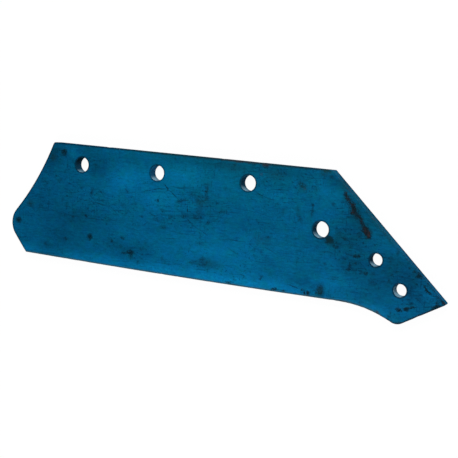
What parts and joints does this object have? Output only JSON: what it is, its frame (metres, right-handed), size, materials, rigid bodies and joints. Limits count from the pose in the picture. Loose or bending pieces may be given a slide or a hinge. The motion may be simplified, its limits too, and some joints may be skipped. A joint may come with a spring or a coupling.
{
  "type": "plough share",
  "caption": "Flat steel plough share with a ground cutting edge, a pointed nose and bolt holes, painted blue and worn.",
  "frame": {"origin": "centre of the front bolt hole of the back row, on the frog side of the plate", "axes": "+X along the back edge towards the point, +Y from the cutting edge to the back edge, +Z out of the soil side, and the share lies on its frog side"},
  "size_m": [0.5178, 0.1454, 0.012],
  "materials": {
    "paint": "worn semi-gloss blue paint on steel, chipped at the edges and scratched"
  },
  "bodies": {
    "root": {"share_plate": "paint"}
  },
  "joints": []
}
